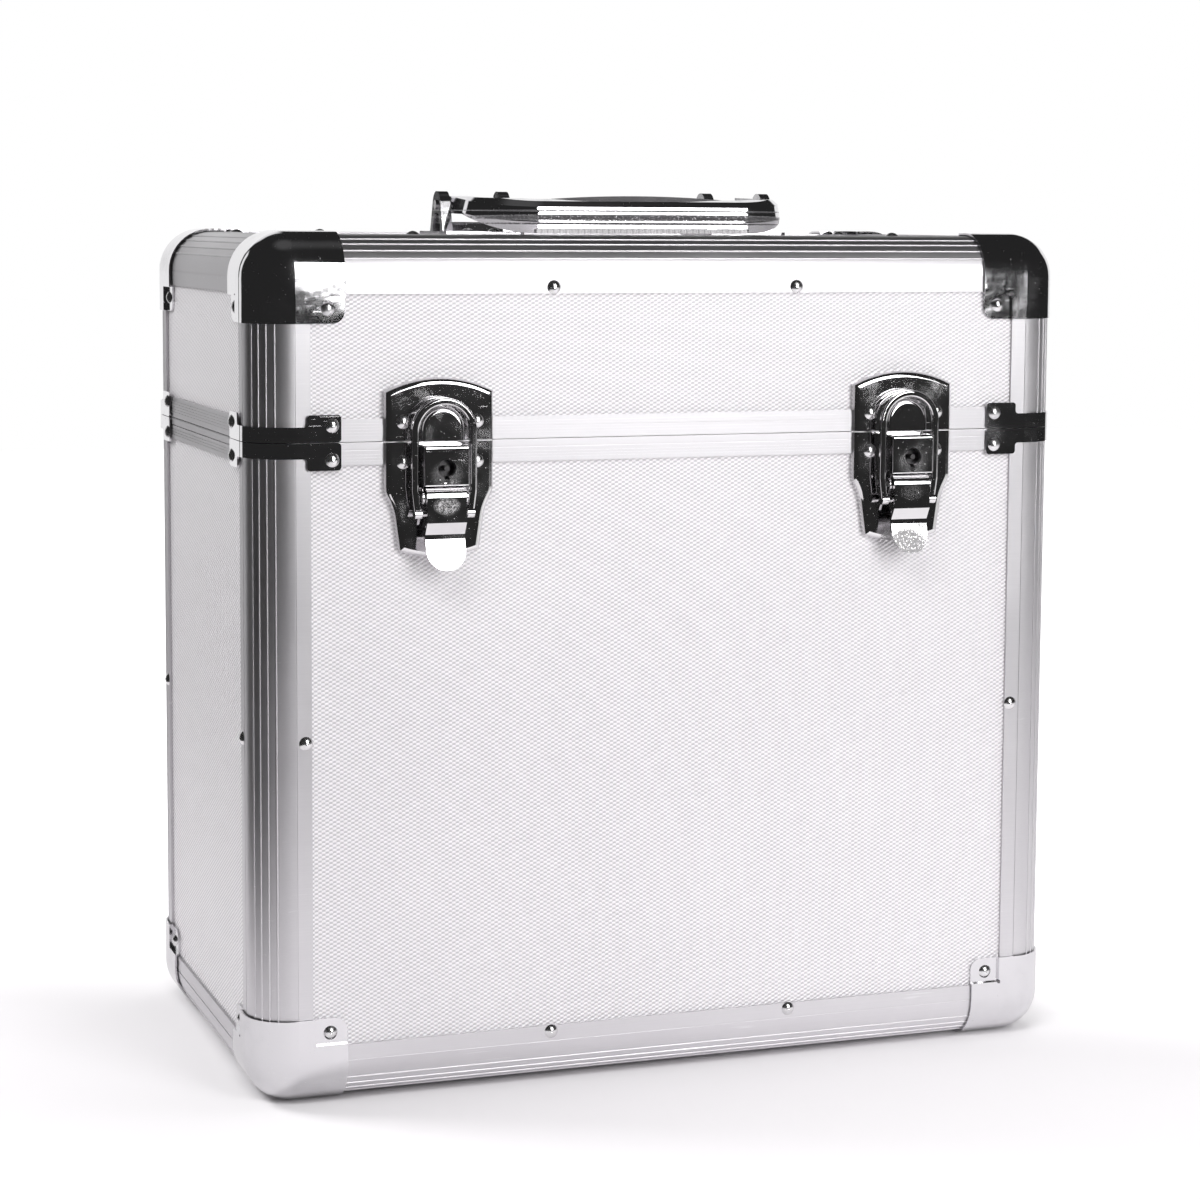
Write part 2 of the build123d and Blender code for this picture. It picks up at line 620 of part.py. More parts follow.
def lever_lug(x):
    """Ear of the latch base that carries the lever's pin, drawn at `x`."""
    foot = PLATE_PROUD - PLATE_SHEET / 2
    p, z = LEVER_PIVOT
    lug = Pos(p, z) * Circle(LUG_RADIUS) + Pos((foot + p) / 2, z) * Rectangle(p - foot, 2 * LUG_RADIUS)
    lug -= Pos(p, z) * Circle(PIVOT_RADIUS + RUNNING / 2)
    return extrude(side_plane(x) * lug, amount=LUG_THICK / 2, both=True)


def latch_base(x):
    """Body half of one latch: pressed plate, lock housing and two lugs for the lever."""
    plate = pressed_plate(base_outline(), x, -BODY_RIM, 1)
    window = extrude(latch_plane(x, -SKIN) * lock_outline(LOCK_WALL), amount=3 * PLATE_PROUD)
    lug_x = LEVER_HALF + LUG_GAP + LUG_THICK / 2
    return (plate - window) + lock_box(x) + lever_lug(x - lug_x) + lever_lug(x + lug_x)


def lock_barrel(x):
    """Turning part of one lock: barrel with a hollow face, its post, and the bolt cam behind."""
    front = LOCK_PROUD - LOCK_WALL - 0.2
    key_centre = Pos(0, KEY_Z)
    disc = key_centre * Circle(BARREL_RADIUS)
    barrel = extrude(latch_plane(x, BARREL_BACK) * disc, amount=front - BARREL_BACK)
    hollow = Circle(KEY_RADIUS - 0.3) + Pos(0, -KEY_RADIUS) * Rectangle(KEY_SLOT[0] - 0.3, KEY_SLOT[1] / 2)
    barrel -= extrude(latch_plane(x, front - KEY_RADIUS) * key_centre * hollow, amount=2 * KEY_RADIUS)
    tip = key_centre * Circle(LOCK_POST)
    post = extrude(latch_plane(x, front - BARREL_RADIUS) * tip, amount=BARREL_RADIUS + 1)
    arm = Circle(BARREL_RADIUS + 0.8) + Pos(CAM_REACH / 2, 0) * Rectangle(CAM_REACH, BARREL_RADIUS)
    cam = extrude(latch_plane(x, CAM_BACK) * key_centre * arm, amount=CAM_FRONT - CAM_BACK)
    return barrel + post + cam


def lever_section():
    """Side view of the lever's bent sheet: a roll round the pivot, a flat face, a waist and the tongue."""
    p, z = LEVER_PIVOT
    face, waist = p + LEVER_ROLL, p + LEVER_ROLL - LEVER_SET_BACK
    outer = [(face, z), (face, z - LEVER_FACE), (waist, z - WAIST[0]), (waist, z - WAIST[1]),
             (face + TONGUE_FLARE, TONGUE_TIP_Z)]
    inner = [(face + TONGUE_FLARE - LEVER_SHEET, TONGUE_TIP_Z - 0.3),
             (waist - LEVER_SHEET, z - WAIST[1] - 0.4), (waist - LEVER_SHEET, z - WAIST[0] + 0.6),
             (face - LEVER_SHEET, z - LEVER_FACE + 0.5), (face - LEVER_SHEET, z)]
    sheet = make_face(Polyline(*outer, *inner, close=True))
    roll = Pos(p, z) * (Circle(LEVER_ROLL) - Circle(LEVER_ROLL - LEVER_SHEET))
    quarter = Pos(p + LEVER_ROLL / 2 - 1.2, z + LEVER_ROLL / 2) * Rectangle(LEVER_ROLL + 2.4, LEVER_ROLL)
    return sheet + (roll & quarter)


def lever_cheek():
    """Side wall of the lever, with the holes for its own pin and for the bail."""
    p, z = LEVER_PIVOT
    front = p + LEVER_ROLL - LEVER_SHEET / 2
    behind = [(p - 3.0, z), (p - 3.0, z - 6.6), (p + 0.6, z - 12.2)]
    outline = Polyline(*behind, (front, z - LEVER_FACE), (front, z), close=True)
    cheek = make_face(outline) + Pos(p, z) * Circle(LEVER_ROLL - 0.2)
    for pivot in (LEVER_PIVOT, BAIL_PIVOT):
        cheek -= Pos(*pivot) * Circle(PIVOT_RADIUS + RUNNING)
    return cheek


def lever(x):
    """Draw lever of one latch: a bent sheet with a round tongue and two cheeks."""
    sheet = extrude(side_plane(x) * lever_section(), amount=LEVER_HALF, both=True)
    top = LEVER_PIVOT[1] + LEVER_ROLL + 1
    tip_centre = TONGUE_TIP_Z - 0.3 + LEVER_HALF
    front = Pos(0, (top + tip_centre) / 2) * Rectangle(2 * LEVER_HALF, top - tip_centre)
    front += Pos(0, tip_centre) * Circle(LEVER_HALF)
    sheet = sheet & extrude(latch_plane(x, 2) * front, amount=2 * LOCK_PROUD)
    for side in (-1, 1):
        middle = x + side * (LEVER_HALF - LEVER_WALL / 2)
        sheet += extrude(side_plane(middle) * lever_cheek(), amount=LEVER_WALL / 2, both=True)
    return sheet


def bail_outline(half):
    """Outline of the bail's outer or inner edge: a half-round arch on legs drawn in at their eyes."""
    z = BAIL_PIVOT[1]
    draw_in, over = BAIL_DRAW_IN
    right = [(half, ARCH_Z), (half, z + over), (half - draw_in, z)]
    left = [(-x, y) for x, y in reversed(right)]
    return make_face(Polyline(*left, *right, close=True)) + Pos(0, ARCH_Z) * Circle(half)


def bail_loop(x):
    """Loop of the bail with its legs, leant a little outwards over the hook."""
    p, z = BAIL_PIVOT
    loop = bail_outline(BAIL_OUTER) - bail_outline(BAIL_INNER)
    ring = extrude(latch_plane(x, p) * loop, amount=BAIL_THICK / 2, both=True)
    ring = fillet(ring.edges().filter_by(lambda e: e.center().Z > SPLIT + z + 1), BAIL_ROUND)
    at_pivot = Pos(x, -HALF_D - p, SPLIT + z)
    return at_pivot * Rot(BAIL_LEAN, 0, 0) * at_pivot.inverse() * ring


def bail(x):
    """Wire-like loop that draws the hook down, with its ends turned in through the lever."""
    p, z = BAIL_PIVOT
    wire = BAIL_OUTER - BAIL_INNER
    inner = BAIL_INNER - BAIL_DRAW_IN[0]
    gap = inner - LEVER_HALF + LEVER_WALL
    loop = bail_loop(x)
    for side in (-1, 1):
        eye = side_plane(x + side * (inner + wire / 2)) * Pos(p, z) * Circle(BAIL_EYE)
        stub = side_plane(x + side * (inner - gap / 2)) * Pos(p, z) * Circle(PIVOT_RADIUS)
        loop += [extrude(eye, amount=wire / 2, both=True), extrude(stub, amount=gap / 2 + 0.4, both=True)]
    return loop


def lever_pin(x):
    """Pin across one lever, fixed in the two lugs."""
    half = LEVER_HALF + LUG_GAP + LUG_THICK + 0.1
    return extrude(side_plane(x) * Pos(*LEVER_PIVOT) * Circle(PIVOT_RADIUS), amount=half, both=True)


# ---------------------------------------------------------------- rear hinges
def hinge_axis(x):
    """Place and turn of a barrel on the hinge axis."""
    return Pos(x, HALF_D + HINGE_AXIS_OUT, SPLIT) * Rot(0, 90, 0)


def hinge_plate(x_from, x_to, side, reach_from, reach_to):
    """Flat piece of a leaf between two heights from the split."""
    near, far = sorted((SPLIT + side * reach_from, SPLIT + side * reach_to))
    face = HALF_D + TRIM_CLEAR
    return box_between((x_from, face, near), (x_to, face + HINGE_SHEET, far))


def hinge_leaf(x, side):
    """Leaf below (-1) or above (1) the split, with every other knuckle of the barrel."""
    clear = KNUCKLE_RADIUS + KNUCKLE_GAP
    start, pitch = x - HINGE_WIDTH / 2, HINGE_WIDTH / KNUCKLES
    leaf = hinge_plate(start, start + HINGE_WIDTH, side, KNUCKLE_GAP, HINGE_LEAF)
    outer_z = SPLIT + side * HINGE_LEAF
    corners = leaf.edges().filter_by(Axis.Y).filter_by(lambda e: abs(e.center().Z - outer_z) < 0.1)
    leaf = fillet(corners, HINGE_CORNER) - hinge_axis(x) * Cylinder(clear, HINGE_WIDTH + 1)
    for index in range(0 if side < 0 else 1, KNUCKLES, 2):
        middle, half = start + pitch * (index + 0.5), (pitch - KNUCKLE_GAP) / 2
        leaf += hinge_axis(middle) * Cylinder(KNUCKLE_RADIUS, 2 * half)
        leaf += hinge_plate(middle - half, middle + half, side, 0, clear + HINGE_SHEET)
    bore = HINGE_PIN_RADIUS + (RUNNING / 2 if side < 0 else RUNNING)
    return leaf - hinge_axis(x) * Cylinder(bore, HINGE_WIDTH + 2)


def hinge_pin(x):
    """Hinge pin with a small head at each end."""
    shaft = Cylinder(HINGE_PIN_RADIUS, HINGE_WIDTH + 2 * PIN_HEAD_GAP)
    head = Cylinder(HINGE_PIN_RADIUS + PIN_HEAD / 2, PIN_HEAD)
    offset_z = (HINGE_WIDTH + PIN_HEAD) / 2 + PIN_HEAD_GAP
    return hinge_axis(x) * (shaft + Pos(0, 0, -offset_z) * head + Pos(0, 0, offset_z) * head)


# ---------------------------------------------------------------- handle
def handle_side_plane(x):
    """Sketch plane across the handle: x is y from its pivot, y is height over the lid's flanges."""
    return Plane(origin=(x, HANDLE_PIVOT_Y, CASE_HEIGHT), x_dir=(0, 1, 0), z_dir=(1, 0, 0))


def handle_axis(x):
    """Place and turn of a round piece on the handle's pivot axis."""
    return Pos(x, HANDLE_PIVOT_Y, CASE_HEIGHT + HANDLE_PIVOT_UP) * Rot(0, 90, 0)


def splayed(foot_half, foot_up, top_half, top_up):
    """Four-sided outline that narrows upwards."""
    right = [(foot_half, foot_up), (top_half, top_up)]
    return make_face(Polyline((-foot_half, foot_up), *right, (-top_half, top_up), close=True))


def bracket_ear():
    """Side view of a bracket ear: an eye on two splayed legs with a window between them."""
    up = HANDLE_PIVOT_UP
    legs = splayed(EAR_FOOT, BRACKET_UP / 2, EAR_CROWN * 0.94, up + 2)
    window = splayed(EAR_FOOT - EAR_LEG, BRACKET_UP, 3.0, up - EAR_LEG)
    eye = Pos(0, up) * Circle(HANDLE_PIN_RADIUS + RUNNING)
    return legs + Pos(0, up) * Circle(EAR_CROWN) - fillet(window.vertices(), 1.0) - eye


def handle_bracket(side):
    """Bracket of the left (-1) or right (1) end: riveted base, low saddle and two ears."""
    x_from, x_to, half = BRACKET_BASE
    low_x, high_x = sorted((side * x_from, side * x_to))
    y_low, y_high = HANDLE_PIVOT_Y - half, HANDLE_PIVOT_Y + half
    base = box_between((low_x, y_low, CASE_HEIGHT - SKIN), (high_x, y_high, CASE_HEIGHT + BRACKET_UP))
    base = fillet(base.edges().filter_by(Axis.Z), 3.0)
    ear_xs = sorted(side * x for x in EAR_X)
    foot, top = SADDLE_HALF
    ridge = handle_side_plane(ear_xs[0]) * splayed(foot, BRACKET_UP / 2, top, SADDLE_UP)
    saddle = extrude(ridge, amount=ear_xs[1] - ear_xs[0])
    saddle = fillet(saddle.faces().sort_by(Axis.Z)[-1].edges().filter_by(Axis.X), 2.0)
    bracket = base + saddle
    for x in ear_xs:
        bracket += extrude(handle_side_plane(x) * bracket_ear(), amount=EAR_WIDTH / 2, both=True)
    return bracket


def bow_plan(inset):
    """The bow seen from above, inset from its outer face, reaching back past its pivots."""
    half, back = BOW_HALF - inset, HANDLE_PIVOT_Y - BOW_REACH + 2 * BOW_HEEL
    plan = Pos(0, (inset + back) / 2) * Rectangle(2 * half, back - inset)
    return fillet(plan.vertices().group_by(Axis.Y)[0], BOW_RADIUS - inset)


def bow_level(heights, drop=0.0):
    """Plane that rises from the grip to the pivots, with its origin at the bow's outer face."""
    front, back = heights
    rise = Vector(0, HANDLE_PIVOT_Y - BOW_REACH, back - front)
    origin = (0, BOW_REACH, CASE_HEIGHT + front - drop)
    return Plane(origin=origin, x_dir=RIGHT, z_dir=Vector(*RIGHT).cross(rise))


def bow_side(inset):
    """The bow seen from the side, inset from its edges: deep at the grip and slim at the pivots."""
    front, back = BOW_REACH - HANDLE_PIVOT_Y - BOW_HEEL, BOW_HEEL + inset
    arm = [(y - HANDLE_PIVOT_Y, low) for y, low in BOW_ARM_LOW]
    lower = [(front, arm[0][1]), *arm, (-BOW_HEEL, BOW_END_LOW), (back, BOW_END_LOW)]
    upper = [(y - HANDLE_PIVOT_Y, high) for y, high in reversed(BOW_TOP)]
    side = make_face(Polyline(*lower, (back, BOW_END_TOP), *upper, (front, BOW_TOP[0][1]), close=True))
    return offset(side, -inset, kind=Kind.INTERSECTION) if inset else side


def bow_block(inset):
    """Solid in the bow's plan and side view, widest along a crease and bevelled on top."""
    crease = bow_level(BOW_CREASE) * bow_plan(inset)
    above, below = BOW_LEAN_IN
    body = extrude(crease, amount=14, taper=above) + extrude(crease, amount=-15, taper=below)
    bevel = bow_level(BOW_BEVEL, inset / 2)
    cap = extrude(bevel * bow_plan(inset), amount=6, taper=BOW_BEVEL_IN)
    cap += extrude(bevel * bow_plan(inset - 4), amount=-18)
    side = extrude(handle_side_plane(0) * bow_side(inset), amount=BOW_HALF + 1, both=True)
    return body & cap & side


def grip_bead(low, high, centre, radius, reach):
    """Rounded bead along the grip's outer face, steepest at its centre, with round ends."""
    y, z = BOW_REACH - reach + radius, CASE_HEIGHT + centre
    rod = Pos(0, y, z) * Rot(0, 90, 0) * Cylinder(radius, 2 * GRIP_HALF)
    tall = high - low
    middle = (0, BOW_REACH + BOW_SHEET, CASE_HEIGHT + low + tall / 2)
    front = Plane(origin=middle, x_dir=RIGHT, z_dir=FRONT)
    return rod & extrude(front * RectangleRounded(2 * GRIP_HALF - 2, tall, 0.45 * tall), amount=radius)


def handle_bow():
    """Pressed channel of the handle, open towards the fingers, with a knuckle at each pivot."""
    over, inside = CASE_HEIGHT + 3 * BOW_END_TOP, BOW_HALF - BOW_BAND
    hand_space = extrude(Pos(0, BOW_REACH, CASE_HEIGHT) * bow_plan(BOW_BAND), amount=3 * BOW_END_TOP)
    between_ends = box_between((-inside, HANDLE_PIVOT_Y - BOW_RADIUS, CASE_HEIGHT),
                               (inside, HANDLE_PIVOT_Y + BOW_RADIUS, over))
    block = bow_block(0)
    bow = block - hand_space - between_ends - bow_block(BOW_SHEET)
    low, back = CASE_HEIGHT + BOW_LOW, BOW_REACH + BOW_BAND
    bow -= box_between((-GRIP_HALF, BOW_REACH - 1, CASE_HEIGHT), (GRIP_HALF, back + 1, low))
    bow += block & box_between((-GRIP_HALF - 1, BOW_REACH, low), (GRIP_HALF + 1, back, low + BOW_SHEET))
    bow += [grip_bead(*bead) for bead in BEADS]
    for side in (-1, 1):
        bow += handle_axis(side * (BOW_HALF - BOW_BAND / 2)) * Cylinder(BOW_KNUCKLE, BOW_BAND - 0.8)
    return bow - handle_axis(0) * Cylinder(HANDLE_PIN_RADIUS + RUNNING / 2, 2 * BOW_HALF + 2)


def grip_core():
    """Moulded filling of the bow's channel behind the fingers, its arched back over the channel's top."""
    gap = BOW_SHEET + FIT
    half, low = GRIP_HALF - 1, BOW_LOW + gap
    filling = box_between((-half, BOW_REACH + gap, CASE_HEIGHT + low),
                          (half, GRIP_BACK, CASE_HEIGHT + BOW_TOP[1][1]))
    span, end, crown = CREST
    outline = Polyline((-span, end), (-span, low), (span, low), (span, end))
    outline += ThreePointArc((span, end), (0, crown), (-span, end))
    back = Plane(origin=(0, GRIP_BACK, CASE_HEIGHT), x_dir=RIGHT, z_dir=FRONT)
    crest = extrude(back * make_face(outline), amount=GRIP_BACK - BOW_REACH - BOW_BAND - FIT)
    return (filling & bow_block(gap)) + crest


def grip_teeth():
    """Strip under the bow with a row of teeth along its outer face."""
    low, high = CASE_HEIGHT + GRIP_CLEAR, CASE_HEIGHT + BOW_LOW - FIT
    face = BOW_REACH - GRIP_TOOTH_OUT
    strip = box_between((1 - GRIP_HALF, face, low), (GRIP_HALF - 1, GRIP_BACK - 3, high))
    count = int(2 * (GRIP_HALF - 2) / GRIP_TOOTH_PITCH)
    for index in range(count):
        x = (index - (count - 1) / 2) * GRIP_TOOTH_PITCH
        strip += Pos(x, face, (low + high) / 2) * Cylinder(GRIP_TOOTH_RADIUS, high - low)
    return strip


def handle_pin(side):
    """Pivot pin through both ears and one end of the bow."""
    inner, outer = EAR_X[0] - EAR_WIDTH / 2 - PIN_HEAD, EAR_X[1] + EAR_WIDTH / 2 + PIN_HEAD
    return handle_axis(side * (inner + outer) / 2) * Cylinder(HANDLE_PIN_RADIUS, outer - inner)


# ---------------------------------------------------------------- assembly
def named(prefix, pieces, drills):
    """Pieces under full names, drilled for their rivets."""
    return {prefix + name: drilled(piece, drills) for name, piece in pieces.items()}


def drilled_group(pieces, drills):
    """Loose pieces as one node, drilled for their rivets."""
    return group(drilled(piece, drills) for piece in pieces)


def body_nodes():
    """Every node of the case's body and its latches."""
    rivets = wall_rivets(True) + level_rivets(0, DOWN) + latch_rivets(BASE_RIVET_Z) + hinge_rivets(-1)
    drills = [drill_at(plane, depth) for plane, depth in rivets]
    top = SPLIT - HALF_SPLIT_GAP
    clip = mirror(corner_clip(), about=Plane.XY)
    nodes = {
        "bottom_panel": drilled(flat_panel(SKIN), drills),
        **named("body_panel_", wall_panels(PANEL_EDGE, top - SKIN - FIT), drills),
        **named("bottom_rail_", level_rails(0, UP), drills),
        **named("body_post_", posts(RAIL_END, top), drills),
        **named("body_rim_", rim_rails(body_rim_profile()), drills),
        "body_ball_corners": drilled_group(corner_set(ball_corner(), 0), drills),
        "body_corner_clips": drilled_group(corner_set(clip, top), drills),
        "body_rivets": group(rivet_at(plane, depth) for plane, depth in rivets),
        "body_liner": body_liner(),
        "hinge_leaves_lower": drilled_group([hinge_leaf(x, -1) for x in (-HINGE_X, HINGE_X)], drills),
        "hinge_pins": group(hinge_pin(x) for x in (-HINGE_X, HINGE_X)),
        "lever_pins": group(lever_pin(x) for x in (-LATCH_X, LATCH_X)),
    }
    for name, x in (("left", -LATCH_X), ("right", LATCH_X)):
        nodes["latch_base_" + name] = drilled(latch_base(x), drills)
        nodes["lock_barrel_" + name] = lock_barrel(x)
        nodes["latch_lever_" + name] = lever(x)
        nodes["latch_bail_" + name] = bail(x)
    return nodes


def lid_nodes():
    """Every node of the lid and its handle."""
    rivets = wall_rivets(False) + level_rivets(CASE_HEIGHT, UP) + latch_rivets(CATCH_RIVET_Z)
    rivets += hinge_rivets(1) + bracket_rivets()
    drills = [drill_at(plane, depth) for plane, depth in rivets]
    bottom = SPLIT + HALF_SPLIT_GAP
    ball = mirror(ball_corner(), about=Plane.XY)
    nodes = {
        "lid_panel_top": drilled(flat_panel(CASE_HEIGHT - PANEL_IN), drills),
        **named("lid_panel_", wall_panels(SPLIT + LID_WEB_AT + SKIN + FIT, CASE_HEIGHT - PANEL_EDGE), drills),
        **named("top_rail_", level_rails(CASE_HEIGHT, DOWN), drills),
        **named("lid_post_", posts(bottom, CASE_HEIGHT - RAIL_END), drills),
        **named("lid_rim_", rim_rails(lid_rim_profile()), drills),
        "lid_ball_corners": drilled_group(corner_set(ball, CASE_HEIGHT), drills),
        "lid_corner_clips": drilled_group(corner_set(corner_clip(), bottom), drills),
        "lid_rivets": group(rivet_at(plane, depth) for plane, depth in rivets),
        "lid_liner": lid_liner(),
        "hinge_leaves_upper": drilled_group([hinge_leaf(x, 1) for x in (-HINGE_X, HINGE_X)], drills),
        "handle_brackets": drilled_group([handle_bracket(side) for side in (-1, 1)], drills),
        "handle_bow": handle_bow(),
        "handle_grip": group([grip_core(), grip_teeth()]),
        "handle_pins": group(handle_pin(side) for side in (-1, 1)),
    }
    for name, x in (("left", -LATCH_X), ("right", LATCH_X)):
        nodes["catch_plate_" + name] = drilled(catch_plate(x), drills)
    return nodes


def main():
    """Write every node and print the finished case's box."""
    os.makedirs("parts", exist_ok=True)
    placed = {name: TO_ORIGIN * shape for name, shape in {**body_nodes(), **lid_nodes()}.items()}
    for name, shape in placed.items():
        export_step(shape, f"parts/{name}.step")
    box = Compound(list(placed.values())).bounding_box()
    print(len(placed), "nodes from", box.min, "to", box.max)


main()
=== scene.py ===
import bpy
from math import radians, tau
from mathutils import Matrix, Vector

# Looks of an aluminium record case: sheet, extrusions, plated fittings and felt
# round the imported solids. Metres, case upright on z = 0, latches towards -Y.

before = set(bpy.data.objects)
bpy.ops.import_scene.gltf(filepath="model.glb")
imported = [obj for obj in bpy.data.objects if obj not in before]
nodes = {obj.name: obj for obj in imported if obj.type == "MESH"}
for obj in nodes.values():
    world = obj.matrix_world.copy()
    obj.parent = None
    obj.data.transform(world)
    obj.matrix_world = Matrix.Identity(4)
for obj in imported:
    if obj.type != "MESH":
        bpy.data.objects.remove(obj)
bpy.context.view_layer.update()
scene = bpy.context.scene
print("frame loaded:", len(nodes), "nodes")


# shader building: a wrapped socket, and a bench that adds nodes
class Wire:  # one node socket that takes part in sums
    def __init__(self, bench, socket):
        self.bench = bench
        self.socket = socket

    def math(self, operation, *others):
        return self.bench.add("ShaderNodeMath", {"operation": operation}, [self, *others])

    def __add__(self, other):
        return self.math("ADD", other)

    def __mul__(self, other):
        return self.math("MULTIPLY", other)

    def __sub__(self, other):
        return self.math("SUBTRACT", other)

    def __rsub__(self, other):
        return self.bench.add("ShaderNodeMath", {"operation": "SUBTRACT"}, [other, self])

    __radd__ = __add__
    __rmul__ = __mul__


class Bench:  # a node tree being filled
    def __init__(self, tree):
        self.tree = tree
        tree.nodes.clear()

    def add(self, kind, settings=None, inputs=None, output=0):
        node = self.tree.nodes.new(kind)
        for name, value in (settings or {}).items():
            setattr(node, name, value)
        given = inputs.items() if isinstance(inputs, dict) else enumerate(inputs or [])
        for key, value in given:
            if isinstance(value, Wire):
                self.tree.links.new(value.socket, node.inputs[key])
            else:
                node.inputs[key].default_value = value
        return Wire(self, node.outputs[output]) if node.outputs else None

    def place(self, scale=(1, 1, 1), turn=(0, 0, 0)):
        where = self.add("ShaderNodeTexCoord", output="Object")
        return self.add("ShaderNodeMapping", None, {"Vector": where, "Rotation": turn, "Scale": scale})

    def noise(self, where, scale, detail=2.0, roughness=0.5):
        sockets = {"Vector": where, "Scale": scale, "Detail": detail, "Roughness": roughness}
        return self.add("ShaderNodeTexNoise", None, sockets)

    def smooth(self, value, low, high):  # 0 below low, 1 above high
        settings = {"interpolation_type": "SMOOTHSTEP"}
        return self.add("ShaderNodeMapRange", settings, [value, low, high, 0.0, 1.0])

    def mix(self, factor, first, second):  # between two colours
        return self.add("ShaderNodeMix", {"data_type": "RGBA"}, {0: factor, 6: first, 7: second}, 2)

    def bump(self, height, depth, strength=1.0, normal=None):
        sockets = {"Height": height, "Distance": depth, "Strength": strength}
        if normal:
            sockets["Normal"] = normal
        return self.add("ShaderNodeBump", None, sockets)


def newFinish(name):
    material = bpy.data.materials.new(name)
    material.use_nodes = True
    return material, Bench(material.node_tree)


def surface(bench, sockets):
    shader = bench.add("ShaderNodeBsdfPrincipled", None, sockets)
    bench.add("ShaderNodeOutputMaterial", None, {"Surface": shader})


def smudges(bench, where, scale, low, high):  # soft patches, 0 to 1
    cloud = bench.noise(where, scale, 4.0, 0.6)
    return bench.smooth(cloud, low, high)


scratchLook = {
    "edge": 0.05,                # from no mark to a full one
    "breaks": 38,                # how closely the marks are interrupted
    "broken": (0.50, 0.62),
}


def scratches(bench, turn, spread, length, low):  # sparse fine marks along one direction
    look = scratchLook
    where = bench.place((1 / length, 1 / spread, 1 / spread), turn)
    marks = bench.noise(where, 1.0, 1.0, 0.4)
    broken = bench.noise(bench.place((look["breaks"],) * 3, turn), 1.0, 2.0)
    return bench.smooth(marks, low, low + look["edge"]) * bench.smooth(broken, *look["broken"])


# embossed aluminium sheet
sheetLook = {
    "colour": (0.960, 0.938, 0.960, 1),
    # colour of the emboss's hollows: painted shade
    "darkTone": (0.640, 0.618, 0.645, 1),
    "pitchAcross": 0.00306,      # staggered diamonds
    "pitchUp": 0.00177,
    "rising": 0.62,              # share of the ridges that climb to the right
    "ridge": (-0.7, 0.6),        # foot and crest of a ridge in the summed waves
    "embossDepth": 0.00022,
    "cloud": (9.0, 0.42, 0.66),  # scale, from, to
    "grainScale": 2600.0,
    "grainDepth": 0.00001,
    "marks": (0.0016, 0.05, 0.71),  # width, length, threshold
    "markTone": (0.90, 0.89, 0.91, 1),
    "roughness": 0.40,
    "metallic": 0.56,
}


def sheetFinish(name, turn):  # turn lays the sheet's plane on local x and z
    look = sheetLook
    material, bench = newFinish(name)
    where = bench.place((1, 1, 1), turn)
    across = bench.add("ShaderNodeSeparateXYZ", None, [where], "X")
    up = bench.add("ShaderNodeSeparateXYZ", None, [where], "Z")
    sideways, upwards = across * (tau / look["pitchAcross"]), up * (tau / look["pitchUp"])
    rising = (sideways - upwards).math("COSINE") * look["rising"]
    falling = (sideways + upwards).math("COSINE") * (1 - look["rising"])
    diamonds = bench.smooth(rising + falling, *look["ridge"])
    cloud = smudges(bench, where, *look["cloud"])
    grain = bench.noise(where, look["grainScale"], 2.0, 0.6)
    marks = scratches(bench, turn, *look["marks"])
    # painted shade: the emboss's hollows are coloured darker than its crests, with a little real
    # cloudy mottling
    tone = bench.mix(diamonds * 0.95 + cloud * 0.05, look["darkTone"], look["colour"])
    shade = bench.mix(marks * 0.4, tone, look["markTone"])
    emboss = bench.bump(diamonds, look["embossDepth"])
    fine = bench.bump(grain, look["grainDepth"], 0.6, emboss)
    surface(bench, {
        "Base Color": shade,
        "Metallic": look["metallic"],
        "Roughness": look["roughness"] + cloud * 0.06 + grain * 0.05,
        "Normal": fine,
    })
    return material


# satin anodised extrusions
extrusionLook = {
    "colour": (0.780, 0.765, 0.785, 1),
    "darkTone": (0.700, 0.685, 0.710, 1),
    "lineWidth": 0.00032,        # drawn lines along the length
    "lineLength": 0.30,
    "lineDepth": 0.000012,
    "cloud": (14.0, 0.40, 0.68),
    "grainScale": 1900.0,
    "grainDepth": 0.000012,
    "marks": (0.0012, 0.04, 0.70),
    "markTone": (0.87, 0.86, 0.88, 1),
    "roughness": 0.35,
    "metallic": 1.0,
}


def extrusionFinish(name, turn):  # turn lays the length on local x
    look = extrusionLook
    material, bench = newFinish(name)
    drawn = bench.place((1 / look["lineLength"], 1 / look["lineWidth"], 1 / look["lineWidth"]), turn)
    where = bench.place()
    lines = bench.noise(drawn, 1.0, 2.0, 0.6)
    cloud = smudges(bench, where, *look["cloud"])
    grain = bench.noise(where, look["grainScale"], 2.0, 0.65)
    marks = scratches(bench, turn, *look["marks"])
    tone = bench.mix(lines * 0.7 + cloud * 0.3, look["darkTone"], look["colour"])
    shade = bench.mix(marks * 0.6, tone, look["markTone"])
    drawnBump = bench.bump(lines, look["lineDepth"], 0.7)
    grainBump = bench.bump(grain, look["grainDepth"], 0.55, drawnBump)
    surface(bench, {
        "Base Color": shade,
        "Metallic": look["metallic"],
        "Roughness": look["roughness"] + cloud * 0.05 + grain * 0.08 - marks * 0.08,
        "Normal": grainBump,
    })
    return material


# bright plating: what all of it has, then each kind
platingWearAndPaint = {
    "handled": (0.46, 0.70),
    "dustScale": 1500.0,
    "dust": (0.74, 0.80),
    "dustTone": (0.60, 0.59, 0.60, 1),
    "markTurn": (0.3, 0.2, 0.7),
    "marks": (0.0007, 0.02, 0.70),
    "markDepth": 0.000008,
    "mottleScale": 1300.0,
    "mottle": (0.34, 0.66),
    "patchSoft": (0.15, 1.0),     # squared distance, as a share of the patch, where it fades
}


